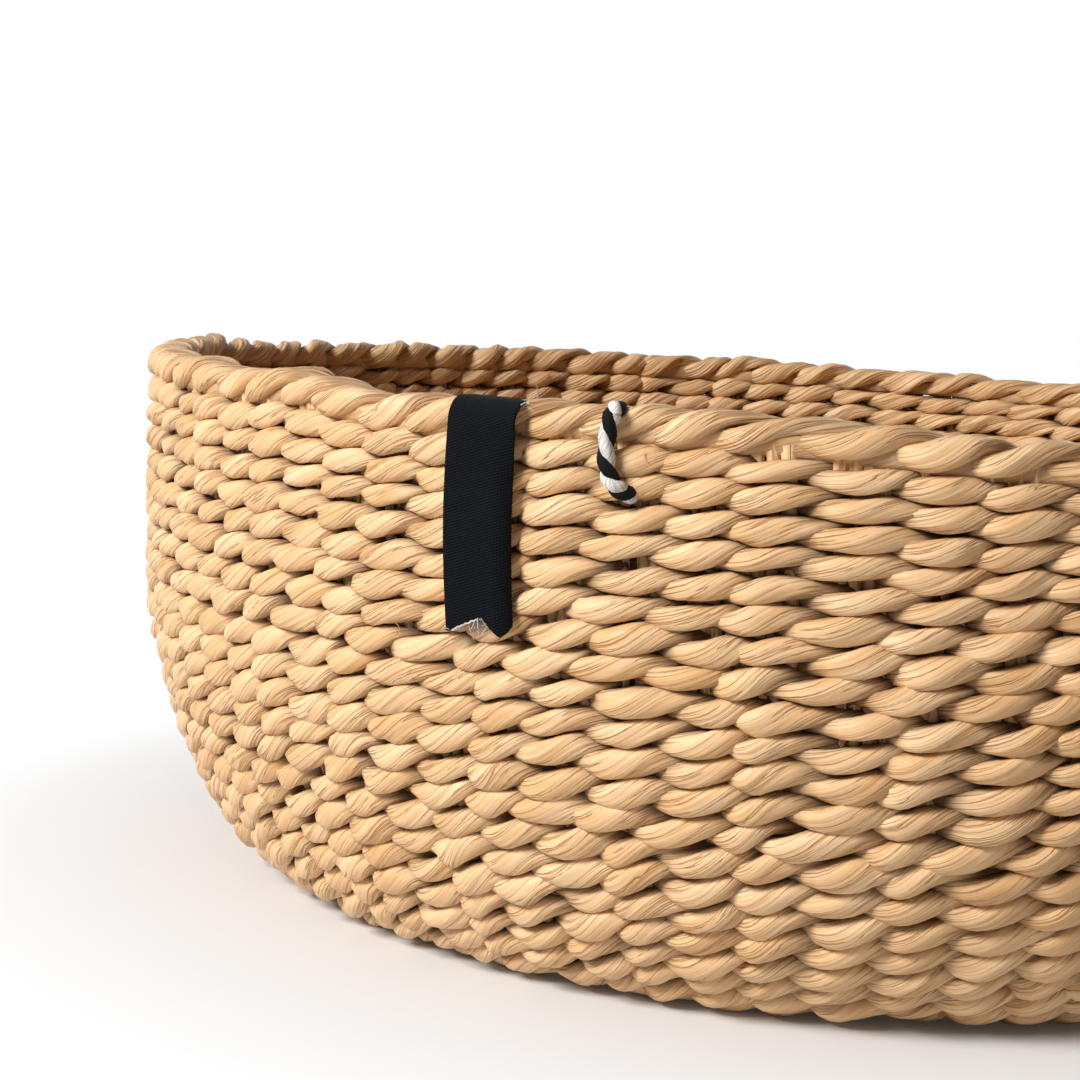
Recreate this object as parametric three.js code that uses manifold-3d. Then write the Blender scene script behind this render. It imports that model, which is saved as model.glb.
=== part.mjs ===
// Woven bowl, twined from paper cord. Stakes fan out from the middle of the base and turn up into
// the wall. Each round of the weave is a pair of strands that holds the stakes between them, one
// on the outer face and one on the inner face. A ribbon label is folded over the rim, and a stitch
// of two-ply thread is sewn beside it.
// Millimetres, +Z up, origin at the middle of the underside, label on the -Y side.

import * as THREE from "three";
import { mergeVertices } from "three/addons/utils/BufferGeometryUtils.js";
import Module from "manifold-3d";

// Outline of the outer face
const BASE_RADIUS = 114; // of the flat underside
const BELLY_RADIUS = 150;
const BELLY_HEIGHT = 70; // where the rounded corner ends
const CORNER_BASE_PULL = 0.58; // how long the corner holds the base's direction
const CORNER_WALL_PULL = 0.38; // how long it holds the wall's
const RIM_RADIUS = 150.8; // the wall leans out a little above the corner
const RIM_HEIGHT = 108.5;

// Layers of the wall, from the outer face inwards
const STRAND_DEPTH = 2.9;
const STAKE_THICKNESS = 1.4;
const SEAT_GAP = 0.3;
const INNER_STRAND_DEPTH = 5.9; // where the inner strands begin
const WALL_THICKNESS = INNER_STRAND_DEPTH + STRAND_DEPTH;

// Stakes
const STAKE_COUNT = 74;
const STAKE_WIDTH = 4;
const CROSSING_RADIUS = 54; // inside it the stakes lie packed side by side
const CROSSING_LAP = 4; // how far a stake runs into the crossing
const CROSSING_RELIEF = 0.1; // the crossing is pressed thinner than a stake, on both faces
const CORNER_STATIONS = 4; // points of a stake round the corner
const CORNER_CROWDING = 1.6; // above 1, the points crowd where the corner is tight

// Rounds of the weave
const WALL_ROUNDS = 21;
const ROUND_SPREAD = 0.155; // above 0, the rounds are taller at the base than under the rim
const STITCH_CHAMFER = 1.1; // how far a strand's rounded edges draw in at the face
const OUTER_SIDES = 28;
const INNER_SIDES = 24;
const BASE_BANDS = 3;
const BASE_SIDES = 18;

// Rim border
const BORDER_HEIGHT = 4.8;
const BORDER_POINTS = 6;

// Label
const LABEL_WIDTH = 12.8;
const LABEL_THICKNESS = 1;
const LABEL_LENGTH = 41; // from the top of the fold to the tip of the longer tail
const LABEL_INNER_LENGTH = 22;
const LABEL_FOLD_RADIUS = 2.2;
const LIP_LENGTH = 2.4; // how far the fold comes down outside, from its top
const PIVOT_DROP = 1.2; // from the end of the fold down to the line that the flap turns on
const PIVOT_CLEARANCE = 0.6; // from that line to the flap's upper edge
const NOTCH_DEPTH = 2.8;
const NOTCH_SHIFT = 0.8; // from the middle to the notch
const TAIL_SHIFT = 3.7; // from the middle to the tip of the longer tail
const TAIL_SLOPE = 1.8; // from that tip up to the ribbon's edge beside it
const SHORT_TAIL_RISE = 0.9;

// Stitch of two-ply thread
const STITCH_ANGLE = THREE.MathUtils.degToRad(9.5); // round from the label
const STITCH_TOP = 108.6;
const STITCH_LENGTH = 15.4;
const STITCH_SHIFT = 4.4; // sideways, from its top to its lower end
const STITCH_BOW = -3; // sideways, of the curve between them
const PLY_RADIUS = 0.6;
const PLY_ORBIT = 0.8; // from the thread's axis to the middle of a ply
const PLY_TURNS = 3;
const PLY_SIDES = 5;
const PLY_STEPS = 18;

const COLOURS = { cord: 0xe0b482, stakes: 0xcf9f6b, twill: 0x15171b, black: 0x17181a, white: 0xf1ede4 };

const roundUp = 1 / Math.cos(Math.PI / OUTER_SIDES); // keeps a ring's flats clear of what it goes round
const innerReach = BASE_RADIUS * Math.cos(Math.PI / INNER_SIDES); // to the flats of the first inner strand
const widest = RIM_RADIUS * roundUp;
const stakeDepth = STRAND_DEPTH + SEAT_GAP;

// Outline of the outer face in the (radius, height) plane, from the base up to the rim
const cornerReach = BELLY_RADIUS - BASE_RADIUS;
const corner = new THREE.CubicBezierCurve(
  new THREE.Vector2(BASE_RADIUS, 0),
  new THREE.Vector2(BASE_RADIUS + CORNER_BASE_PULL * cornerReach, 0),
  new THREE.Vector2(BELLY_RADIUS, BELLY_HEIGHT * (1 - CORNER_WALL_PULL)),
  new THREE.Vector2(BELLY_RADIUS, BELLY_HEIGHT),
);
const upperWall = new THREE.LineCurve(
  new THREE.Vector2(BELLY_RADIUS, BELLY_HEIGHT),
  new THREE.Vector2(RIM_RADIUS, RIM_HEIGHT),
);
const outline = new THREE.CurvePath();
outline.add(corner);
outline.add(upperWall);
const outlineLength = outline.getLength();
const wovenLength = outlineLength - BORDER_HEIGHT - SEAT_GAP;

// A point of the wall, by its distance along the outline and its depth under the outer face
function wallPoint(distance, depth) {
  const share = distance / outlineLength;
  const along = outline.getTangent(share);
  const inwards = new THREE.Vector2(-along.y, along.x);
  return outline.getPoint(share).addScaledVector(inwards, depth);
}

// Distance along the outline to the lower edge of a round
function roundEdge(round) {
  const share = round / WALL_ROUNDS;
  return wovenLength * (share + ROUND_SPREAD * share * (1 - share));
}

function material(colour, roughness) {
  return new THREE.MeshStandardMaterial({ color: colour, roughness, metalness: 0 });
}

function node(name, geometry, colour, roughness) {
  const mesh = new THREE.Mesh(geometry, material(colour, roughness));
  mesh.name = name;
  return mesh;
}

// A closed section in the (radius, height) plane, turned round the bowl's axis
function ring(section, sides) {
  const points = THREE.ShapeUtils.isClockWise(section) ? [...section].reverse() : section;
  return new THREE.LatheGeometry([...points, points[0]], sides).rotateX(Math.PI / 2);
}

// A half section that starts and ends on the bowl's axis, turned round it
function disc(section, sides) {
  return new THREE.LatheGeometry(section, sides).rotateX(Math.PI / 2);
}

// A shape in the (radius, height) plane at an angle round from the label, given a width across it
function radialPlate(shape, width, angle, curveSegments = 1) {
  const outwards = new THREE.Vector3(Math.sin(angle), -Math.cos(angle), 0);
  const up = new THREE.Vector3(0, 0, 1);
  const across = new THREE.Vector3().crossVectors(outwards, up);
  const place = new THREE.Matrix4().makeBasis(outwards, up, across);
  return new THREE.ExtrudeGeometry(shape, { depth: width, bevelEnabled: false, curveSegments })
    .translate(0, 0, -width / 2)
    .applyMatrix4(place);
}

const wasm = await Module();
wasm.setup();

function toSolid(geometry) {
  const bare = geometry.clone();
  bare.deleteAttribute("normal");
  bare.deleteAttribute("uv");
  const merged = mergeVertices(bare);
  return new wasm.Manifold(new wasm.Mesh({
    numProp: 3,
    vertProperties: new Float32Array(merged.attributes.position.array),
    triVerts: new Uint32Array(merged.index.array),
  }));
}

function toGeometry(solid) {
  const mesh = solid.getMesh();
  const geometry = new THREE.BufferGeometry();
  geometry.setAttribute("position", new THREE.BufferAttribute(mesh.vertProperties, 3));
  geometry.setIndex(new THREE.BufferAttribute(mesh.triVerts, 1));
  geometry.computeVertexNormals();
  return geometry;
}

// One stake: flat along the base, round the corner and up to the border
function stakeShape() {
  const stations = [0];
  for (let station = 1; station <= CORNER_STATIONS; station += 1) {
    const share = (station / CORNER_STATIONS) ** CORNER_CROWDING;
    stations.push(share * corner.getLength());
  }
  stations.push(wovenLength - SEAT_GAP);
  const outerEdge = stations.map((distance) => wallPoint(distance, stakeDepth));
  const innerEdge = stations.map((distance) => wallPoint(distance, stakeDepth + STAKE_THICKNESS));
  const start = CROSSING_RADIUS - CROSSING_LAP;
  outerEdge.unshift(new THREE.Vector2(start, stakeDepth));
  innerEdge.unshift(new THREE.Vector2(start, stakeDepth + STAKE_THICKNESS));
  return new THREE.Shape([...outerEdge, ...innerEdge.reverse()]);
}

// All stakes, joined where they lie packed together in the middle of the base
function warpStakes() {
  const shape = stakeShape();
  const under = stakeDepth + CROSSING_RELIEF;
  const over = stakeDepth + STAKE_THICKNESS - CROSSING_RELIEF;
  const half = [[0, under], [CROSSING_RADIUS, under], [CROSSING_RADIUS, over], [0, over]];
  let solid = toSolid(disc(half.map((point) => new THREE.Vector2(...point)), STAKE_COUNT));
  for (let stake = 0; stake < STAKE_COUNT; stake += 1) {
    const angle = ((stake + 0.5) / STAKE_COUNT) * 2 * Math.PI;
    solid = solid.add(toSolid(radialPlate(shape, STAKE_WIDTH, angle)));
  }
  return toGeometry(solid);
}

// The strand of a round that lies outside the stakes: full where it meets them, rounded at the face
function outerStrand(round) {
  const low = roundEdge(round) + SEAT_GAP / 2;
  const high = roundEdge(round + 1) - SEAT_GAP / 2;
  const section = [
    wallPoint(low, STRAND_DEPTH),
    wallPoint(low + STITCH_CHAMFER, 0),
    wallPoint(high - STITCH_CHAMFER, 0),
    wallPoint(high, STRAND_DEPTH),
  ];
  section.forEach((point) => point.setX(point.x * roundUp));
  return ring(section, OUTER_SIDES);
}

// The strand of the same round that lies inside the stakes, with its ridge on the inner face
function innerStrand(round) {
  const low = roundEdge(round) + SEAT_GAP / 2;
  const high = roundEdge(round + 1) - SEAT_GAP / 2;
  const section = [
    wallPoint(low, INNER_STRAND_DEPTH),
    wallPoint(high, INNER_STRAND_DEPTH),
    wallPoint((low + high) / 2, WALL_THICKNESS),
  ];
  return ring(section, INNER_SIDES);
}

// A band of rounds in the base, out to a reach. Seated is the height of its full face against the
// stakes, and worn that of its rounded face.
function baseBand(band, reach, seated, worn) {
  const width = (reach - SEAT_GAP) / BASE_BANDS;
  const low = band * width + SEAT_GAP;
  const high = (band + 1) * width;
  if (band === 0) {
    const half = [[0, seated], [high, seated], [high - STITCH_CHAMFER, worn], [0, worn]];
    if (worn < seated) half.reverse();
    return disc(half.map((point) => new THREE.Vector2(...point)), BASE_SIDES);
  }
  const section = [[low, seated], [low + STITCH_CHAMFER, worn], [high - STITCH_CHAMFER, worn], [high, seated]];
  return ring(section.map((point) => new THREE.Vector2(...point)), BASE_SIDES);
}

// The thicker last round, which covers the stake ends
function rimBorder() {
  const section = [];
  for (let point = 0; point < BORDER_POINTS; point += 1) {
    const turn = ((point + 0.5) / BORDER_POINTS) * 2 * Math.PI;
    const flat = Math.cos(Math.PI / BORDER_POINTS);
    section.push(new THREE.Vector2(
      RIM_RADIUS + (WALL_THICKNESS / 2) * (Math.cos(turn) / flat - 1),
      RIM_HEIGHT + (BORDER_HEIGHT / 2) * (Math.sin(turn) - 1),
    ));
  }
  return ring(section, OUTER_SIDES);
}

const foldTop = RIM_HEIGHT + SEAT_GAP + LABEL_THICKNESS;
const flapInnerFace = widest + SEAT_GAP;
const pivotRadius = flapInnerFace + LABEL_THICKNESS / 2;
const pivotHeight = foldTop - LIP_LENGTH - PIVOT_DROP;

// The part of the ribbon that stays on the rim: an inner leg, the fold and a short outer lip
function labelSaddle() {
  const innerSag = (LABEL_WIDTH / 2) * Math.tan(Math.PI / INNER_SIDES);
  const legFace = BELLY_RADIUS - WALL_THICKNESS - innerSag - SEAT_GAP;
  const legBack = legFace - LABEL_THICKNESS;
  const lipBack = flapInnerFace;
  const lipFace = lipBack - LABEL_THICKNESS;
  const legEnd = RIM_HEIGHT - LABEL_INNER_LENGTH;
  const lipEnd = foldTop - LIP_LENGTH;
  const insideRadius = LABEL_FOLD_RADIUS - LABEL_THICKNESS;
  const arcHeight = foldTop - LABEL_FOLD_RADIUS;
  const right = Math.PI / 2;
  const shape = new THREE.Shape();
  shape.moveTo(legBack, legEnd);
  shape.absarc(legBack + LABEL_FOLD_RADIUS, arcHeight, LABEL_FOLD_RADIUS, Math.PI, right, true);
  shape.absarc(lipBack - LABEL_FOLD_RADIUS, arcHeight, LABEL_FOLD_RADIUS, right, 0, true);
  shape.lineTo(lipBack, lipEnd);
  shape.lineTo(lipFace, lipEnd);
  shape.absarc(lipFace - insideRadius, arcHeight, insideRadius, 0, right, false);
  shape.absarc(legFace + insideRadius, arcHeight, insideRadius, right, Math.PI, false);
  shape.lineTo(legFace, legEnd);
  return radialPlate(shape, LABEL_WIDTH, 0, 3);
}

// The part of the ribbon that hangs outside and lifts, with its notched end
function labelFlap() {
  const half = LABEL_WIDTH / 2;
  const upper = pivotHeight - PIVOT_CLEARANCE;
  const tip = foldTop - LABEL_LENGTH;
  const shape = new THREE.Shape([
    new THREE.Vector2(-half, upper),
    new THREE.Vector2(-half, tip + SHORT_TAIL_RISE),
    new THREE.Vector2(NOTCH_SHIFT, tip + NOTCH_DEPTH),
    new THREE.Vector2(TAIL_SHIFT, tip),
    new THREE.Vector2(half, tip + TAIL_SLOPE),
    new THREE.Vector2(half, upper),
  ]);
  return new THREE.ExtrudeGeometry(shape, { depth: LABEL_THICKNESS, bevelEnabled: false })
    .rotateX(Math.PI / 2)
    .translate(0, -flapInnerFace, 0);
}

// The middle of one ply, winding round the thread's own axis as it goes down the wall
class PlyCurve extends THREE.Curve {
  constructor(phase) {
    super();
    this.phase = phase;
    this.outwards = new THREE.Vector3(Math.sin(STITCH_ANGLE), -Math.cos(STITCH_ANGLE), 0);
    this.across = new THREE.Vector3(Math.cos(STITCH_ANGLE), Math.sin(STITCH_ANGLE), 0);
    this.reach = widest + SEAT_GAP + PLY_ORBIT + PLY_RADIUS;
  }

  getPoint(share, target = new THREE.Vector3()) {
    const turn = 2 * Math.PI * PLY_TURNS * share + this.phase;
    const shift = STITCH_SHIFT * share + 4 * share * (1 - share) * STITCH_BOW;
    const lean = STITCH_SHIFT + 4 * (1 - 2 * share) * STITCH_BOW;
    const side = this.across.clone().multiplyScalar(STITCH_LENGTH).setZ(lean).normalize();
    return target
      .set(0, 0, STITCH_TOP - STITCH_LENGTH * share)
      .addScaledVector(this.across, shift)
      .addScaledVector(this.outwards, this.reach + PLY_ORBIT * Math.cos(turn))
      .addScaledVector(side, PLY_ORBIT * Math.sin(turn));
  }
}

function threadPly(phase) {
  const section = new THREE.Shape();
  for (let side = 0; side < PLY_SIDES; side += 1) {
    const turn = (side / PLY_SIDES) * 2 * Math.PI;
    const [x, y] = [PLY_RADIUS * Math.cos(turn), PLY_RADIUS * Math.sin(turn)];
    if (side === 0) section.moveTo(x, y);
    else section.lineTo(x, y);
  }
  return new THREE.ExtrudeGeometry(section, { steps: PLY_STEPS, extrudePath: new PlyCurve(phase) });
}

const bowl = new THREE.Group();
bowl.add(node("warp_stakes", warpStakes(), COLOURS.stakes, 0.9));
for (let band = 0; band < BASE_BANDS; band += 1) {
  const under = baseBand(band, BASE_RADIUS, STRAND_DEPTH, 0);
  const over = baseBand(band, innerReach, INNER_STRAND_DEPTH, WALL_THICKNESS);
  bowl.add(node(`base_rounds_under_${band + 1}`, under, COLOURS.cord, 0.85));
  bowl.add(node(`base_rounds_over_${band + 1}`, over, COLOURS.cord, 0.85));
}
for (let round = 0; round < WALL_ROUNDS; round += 1) {
  const number = String(round + 1).padStart(2, "0");
  bowl.add(node(`wall_round_${number}_outer`, outerStrand(round), COLOURS.cord, 0.85));
  bowl.add(node(`wall_round_${number}_inner`, innerStrand(round), COLOURS.cord, 0.85));
}
bowl.add(node("rim_border", rimBorder(), COLOURS.cord, 0.85));

const label = new THREE.Group();
label.add(node("label_saddle", labelSaddle(), COLOURS.twill, 0.8));
label.add(node("label_flap", labelFlap(), COLOURS.twill, 0.8));
bowl.add(label);

const stitch = new THREE.Group();
stitch.add(node("thread_ply_black", threadPly(0), COLOURS.black, 0.9));
stitch.add(node("thread_ply_white", threadPly(Math.PI), COLOURS.white, 0.9));
bowl.add(stitch);

export default bowl;
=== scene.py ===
import math
from dataclasses import dataclass

import bmesh
import bpy
import numpy as np
from bpy.props import FloatProperty, FloatVectorProperty, IntProperty, PointerProperty
from mathutils import Matrix, Vector


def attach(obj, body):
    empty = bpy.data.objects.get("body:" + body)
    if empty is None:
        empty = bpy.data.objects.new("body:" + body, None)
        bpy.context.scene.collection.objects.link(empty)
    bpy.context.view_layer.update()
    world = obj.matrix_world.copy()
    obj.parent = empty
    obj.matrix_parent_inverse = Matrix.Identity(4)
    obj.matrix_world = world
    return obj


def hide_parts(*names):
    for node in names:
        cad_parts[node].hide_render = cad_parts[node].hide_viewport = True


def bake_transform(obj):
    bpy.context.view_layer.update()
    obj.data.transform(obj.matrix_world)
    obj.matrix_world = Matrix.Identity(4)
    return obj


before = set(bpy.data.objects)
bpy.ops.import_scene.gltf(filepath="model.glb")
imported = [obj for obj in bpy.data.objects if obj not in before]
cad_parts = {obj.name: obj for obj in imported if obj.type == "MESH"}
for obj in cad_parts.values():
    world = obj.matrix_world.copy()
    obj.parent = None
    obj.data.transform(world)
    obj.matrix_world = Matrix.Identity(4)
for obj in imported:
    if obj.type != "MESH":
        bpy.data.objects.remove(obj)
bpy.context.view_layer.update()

bl_info = {
    "name": "Woven bowl",
    "version": (1, 0, 0),
    "blender": (4, 5, 0),
    "location": "View3D > Sidebar > Woven bowl",
    "description": "A bowl twined from twisted paper cord, with a ribbon label and a thread stitch",
    "category": "Add Mesh",
}

MM = 0.001
TURN = 2 * math.pi

# Fineness of the meshes
WALL_SAMPLES = 10  # rings of a strand for each stake that it passes
WALL_SIDES = 14
BASE_SAMPLES = 8
BASE_SIDES = 10
BORDER_SAMPLES = 14
BORDER_SIDES = 16
STAKE_SIDES = 6
STAKE_STEP = 4 * MM
TUBE_RADIUS = 1 * MM  # of a tube before it gets its own section
OUTLINE_STEPS = 400  # points of the outline round the corner
LEAST_CROWDING = 0.45  # however tight the corner is, the rounds lie no closer than this inside it

# How a strand passes one stake
RADIAL_SKEW = 0.06  # it comes out and goes in early, in stakes
HEAD_START = 0.15  # how much faster it comes out than it goes in
SWING_HOLD = 0.7  # above 0, it stays out, or in, for longer
TAPER = 0.48  # how much thinner it is drawn where it goes in
THIN_AT = 0.68  # where that is, in stakes past the middle of the stitch
TAPER_POWER = 2.2  # above 1, it is thin for less of its length
HEAD_TAPER = 0.22  # how much thinner it is where it comes out
HEAD_AT = -0.62
LOW_SLANT = 0.8  # how much steeper the stitches are at the foot of the wall
INNER_FULLNESS = 0.36  # how much taller it is inside the stakes, where the rounds are pushed together
BOXINESS = 2.7  # of its section: 2 is an ellipse, and more makes its faces flatter
SQUEEZE = 0.30  # how much thicker it is where it is pressed from above and below
GAP_SHADE_DEPTH = 3.0 * MM  # painted shade darkens the paper where it lies this close to the middle of the stakes
TURN_IN = 1.0 * MM  # and where it has passed this far through to their other side

# How unevenly the stakes stand
STAKE_WANDER = 0.13  # each by itself, in stakes
ROUND_SHIFT = 0.14  # a round's stitches along the stakes, in stakes
BUNCHING = 0.11  # how much wider apart they stand on some sides of the bowl
BUNCH_LOBES = 3  # how many such sides there are
BUNCH_AT = math.radians(45)  # where the first one is, round from the label
STAKE_WAVES = 1.2  # a stake wanders in at most so many waves up the wall

# How unevenly the stitches are made
SHIFT_DRIFT = 0.05  # along the stakes, in stakes
RISE_DRIFT = 0.06  # up the wall, in heights of a stitch
SWING_DRIFT = 0.08  # of the swing, as a share of it
OUT_DRIFT = 0.15 * MM  # out of the wall
SIZE_DRIFT = 0.09  # of the size, as a share of it
TWIST_DRIFT = 0.25  # in radians
GRAIN_SHIFT = 5  # the paper of each strand starts somewhere within so many metres
FOLD_COUNTS = (2, 3, 5)  # folds of the surface that lie round a strand
FOLD_DEPTHS = (0.05, 0.05, 0.025)  # their least depths, in half sizes of the strand

# Rise of the rim over its even height, in millimetres, at angles round from the label in degrees
RIM_ANGLES = (-150, -110, -85, -72, -50, -31, -25, -18, -9, -5, 0, 6, 20, 27, 34, 42, 75, 120)
RIM_RISES = (0.5, 0.0, 0.0, 1.6, 0.6, 0.5, 0.0, 1.0, -1.3, -1.0, -0.3, 0.9, 1.0, 0.1, -1.1, -0.3, 0.8, -0.5)
SWAY_POWER = 1.5  # above 1, the rounds under the rim follow it less

# Rim border, in heights of the border
BORDER_DEPTH = 0.41  # from the rim down to the middle of its round
BORDER_STITCH = 0.84  # height of a stitch at its fullest
BORDER_SLANT = 0.27  # how far it rises from its middle to its end
CORE_DEPTH = 0.72  # from the rim down to the middle of the plain ring inside it
CORE_HEIGHT = 0.8

# Stakes
STAKE_END = 3 * MM  # how far under the rim they end
STAKE_START = 2 * MM  # from the bowl's axis to where the innermost ones start
STAKE_LAP = 2 * MM  # how far those of one ring of the base run into the next
BUNDLE = (-1.5, -0.5, 0.5, 1.5)  # the strands of a stake, side by side
BUNDLE_STEP = 2.5 * MM  # from one of them to the next
STAKE_WOBBLE = 0.12 * MM  # of a strand, from one of its points to the next
STAKE_SIZES = (1.15, 1.4)  # half widths of a strand, in millimetres
STAKE_FLATNESS = 0.6  # thickness of a strand, in its widths
STAKE_TWIST = 9  # from end to end, in radians
STAKE_FOLDS = 0.08
STAKE_PINCH = 0.4
LEAST_RADIUS = 4 * MM  # nearer to the axis the strands of a stake close up
TIP_LENGTH = 8 * MM  # along this length the ends come forward
TIP_FORWARD = 1.3 * MM
# Painted shade of the stakes in the gaps, gone near their ends
SHADE_END = 9 * MM  # from the end of a stake to where its shade begins to fade
PALE_FROM = 5 * MM  # and to where it is gone
STAKE_SHADE = 0.65

# Base: a round inside each radius passes so many stakes, always an even number
BASE_BANDS = 3
BASE_ROUNDS = 21
BASE_COUNTS = ((0.005, 4), (0.019, 8), (0.038, 18), (0.076, 36))

# Label
RIBBON_COLUMNS = 32
RIBBON_ROWS = 130
CUT_ACROSS = (-1.0, 0.0, 0.14, 0.3, 0.6, 0.82, 1.0)  # along the notched end, from edge to edge
CUT_RISE = (-0.3, 2.9, 3.0, 1.8, 0.0, 1.0, 2.0)  # there, in millimetres over the longer tail's tip
CUT_REACH = 6 * MM  # how much of the ribbon's length the cut moves
ROLL_FROM = 0.42  # where the right side begins to roll back, in half widths
ROLL_RADIUS = 3.2 * MM
ROLL_ONSET = 3.5  # how fast the roll sets in down the leg
ROLL_START = 0.75  # its limit at the top of the leg
ROLL_GAIN = 0.6  # and how much higher the limit is at the tail
LEAST_ROLL = 1e-4  # in radians, below which the ribbon counts as flat
LEG_BOW = 0.55 * MM  # how far the outer leg bows sideways
LEG_LEAN = 0.06  # how far it leans sideways for each unit down
LEG_STAND = 0.4 * MM  # how far it stands off in its middle
FRAY_SIDES = 6
WHISKER_REACHES = (0.9, 2.2)  # of the loose threads, in millimetres
WHISKER_RADII = (0.07, 0.13)  # in millimetres
WHISKER_STEPS = 8
FRAY_EDGE = (-0.8, 0.0)  # where one thread lies along the cut, in half widths from the middle
FRAY_NOTCH = (-0.08, 0.3)  # where threads hang into the notch
FRAY_TAIL = (-0.95, -0.1)  # where a few hang from the shorter tail
FRAY_FOLD = (-3.5 * MM, 2 * MM)  # where they stick out beside the fold, along the ribbon

# Course of the thread: aside from its angle, out from the rim's radius, and height, in millimetres
THREAD_COURSE = (
    (-1.3, -4.4, 108.0),
    (-1.4, -2.2, 108.9),
    (-1.5, -0.1, 109.2),
    (-1.7, 1.4, 108.0),
    (-2.0, 1.8, 105.2),
    (-2.1, 1.8, 101.8),
    (-1.5, 1.8, 98.8),
    (-0.3, 1.4, 96.7),
    (0.9, 0.2, 95.7),
    (1.7, -2.4, 95.2),
)
THREAD_STEPS = 90
THREAD_SIDES = 12
PLY_TWIST = 30  # of the fibres round a ply, from end to end, in radians

# Loose fibres
FIBRE_COUNT = 26
FIBRE_STEPS = 12
FIBRE_DEPTH = 0.1 * MM  # they start this far under the outer face
FIBRE_DROP = 0.6  # its square is the share of the outline that has them, from the rim down
FIBRE_SWEEPS = (1.2, 3.6)  # how far they curl, in radians
FIBRE_BENDS = (1.2, 3.2)  # radii of the curls, in millimetres
FIBRE_LIFTS = (0.3, 1.2)  # how far they stand off, in millimetres
FIBRE_RADII = (0.05, 0.08)  # in millimetres

# Surfaces
CORD_CREASE_DEPTH = 0.6 * MM
STAKE_CREASE_DEPTH = 0.3 * MM
LEAST_CREASE = 0.007  # width of a crease in the noise that draws it
PINCHED_CREASE = 0.075  # how much wider it is where the strand is pressed together
PAPER_WEAR = 0.2  # how much the roughness of the paper differs
TWILL_SLANT = math.radians(20)
BAKE_ENDS = 0.01  # margins of the strips on the map for baking
BAKE_EDGES = 0.04

# Floor and key lamp, in metres
FLOOR_CLEAR = 0.12  # from the bowl's axis to where the floor begins to fade
KEY_PLACE = (-0.55, -1.39, 1.02)
KEY_AIM = (0, 0, 0.05)
KEY_SIZE = 0.55

# Random draws, one number per piece so that no piece changes another
SEED_WALL = 100
SEED_BASE = 300
SEED_BORDER = 500
SEED_STAKES = 600
SEED_FRAY = 700
SEED_FIBRES = 800


def length_setting(name, description, default, low):
    """A size in metres, no less than low."""
    return FloatProperty(name=name, description=description, default=default, min=low, unit="LENGTH")


def share_setting(name, description, default):
    """A value from 0 to 1."""
    return FloatProperty(
        name=name, description=description, default=default, min=0, max=1, subtype="FACTOR")


def angle_setting(name, description, default):
    """An angle in radians, which is shown in degrees."""
    return FloatProperty(
        name=name, description=description, default=default, subtype="ANGLE", unit="ROTATION")


def number_setting(name, description, default, **limits):
    """A plain number within its limits."""
    return FloatProperty(name=name, description=description, default=default, **limits)


def colour_setting(name, description, *default):
    """A colour, given by its red, green and blue."""
    return FloatVectorProperty(
        name=name, description=description, default=default, min=0, max=1, subtype="COLOR")


class BowlShape(bpy.types.PropertyGroup):
    """Outline of the bowl's outer face and the place of the stakes under it."""

    base_radius: length_setting("Base radius", "Radius of the flat underside", 0.114, 0.01)
    belly_radius: length_setting("Belly radius", "Radius where the rounded corner ends", 0.150, 0.01)
    belly_height: length_setting("Belly height", "Height where the rounded corner ends", 0.070, 0.01)
    base_pull: share_setting("Base pull", "How long the corner holds the base's direction", 0.58)
    wall_pull: share_setting("Wall pull", "How long the corner holds the wall's direction", 0.38)
    rim_radius: length_setting("Rim radius", "Outer radius at the rim", 0.1508, 0.01)
    rim_height: length_setting("Rim height", "Height of the rim above the underside", 0.1085, 0.01)
    stake_depth: length_setting(
        "Stake depth", "Depth of the stakes' middle under the outer face", 0.0044, 0.001)


class WeaveSettings(bpy.types.PropertyGroup):
    """Counts and sizes of the twined strands."""

    stakes: IntProperty(
        name="Stakes", description="Stakes round the wall, an even number",
        default=74, min=8)
    wall_rounds: IntProperty(
        name="Wall rounds", description="Rounds of the weave from the base up to the border",
        default=21, min=2)
    border_height: length_setting("Border height", "Height of the rim border", 0.0057, 0.001)
    spread: number_setting(
        "Spread", "How much taller the rounds are at the base than under the rim", 0.155, min=0, max=0.9)
    fill: number_setting(
        "Fill", "Height of a stitch at its fullest, in heights of its round", 0.98, min=0.1)
    strand_thickness: length_setting(
        "Strand thickness", "Thickness of a stitch at its fullest", 0.0042, 0.0005)
    swing: length_setting("Swing", "How far a strand swings out and in round the stakes", 0.0021, 0)
    slant: number_setting(
        "Slant", "How far a stitch rises from its middle to its end, in heights of its round", 0.165, min=0)
    lean: number_setting("Lean", "How far the stakes lean sideways for each unit down the wall", 0.09)
    twist: number_setting(
        "Twist", "Turns of a strand's own twist for each stake that it passes", 0.42, min=0)
    unevenness: number_setting(
        "Unevenness", "Size of the hand-made differences between stitches", 1.0, min=0, max=3)


class PaperColours(bpy.types.PropertyGroup):
    """Colours of the twisted paper, and of the painted shade in its creases and gaps."""

    light: colour_setting("Light", "Paper where it is palest", 0.85, 0.597, 0.355)
    deep: colour_setting("Deep", "Paper where it is deepest", 0.66, 0.385, 0.17)
    # painted shade along the creases, which are also cut into the relief
    crease_and_shade: colour_setting("Crease", "Lines of the creases", 0.40, 0.19, 0.07)
    # painted shade: the colour that the paper is darkened to deep in the gaps between the stitches
    gap: colour_setting("Gap", "Paper deep in the gaps between the stitches", 0.055, 0.024, 0.009)
    roughness: share_setting("Roughness", "Roughness of the paper", 0.43)


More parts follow.
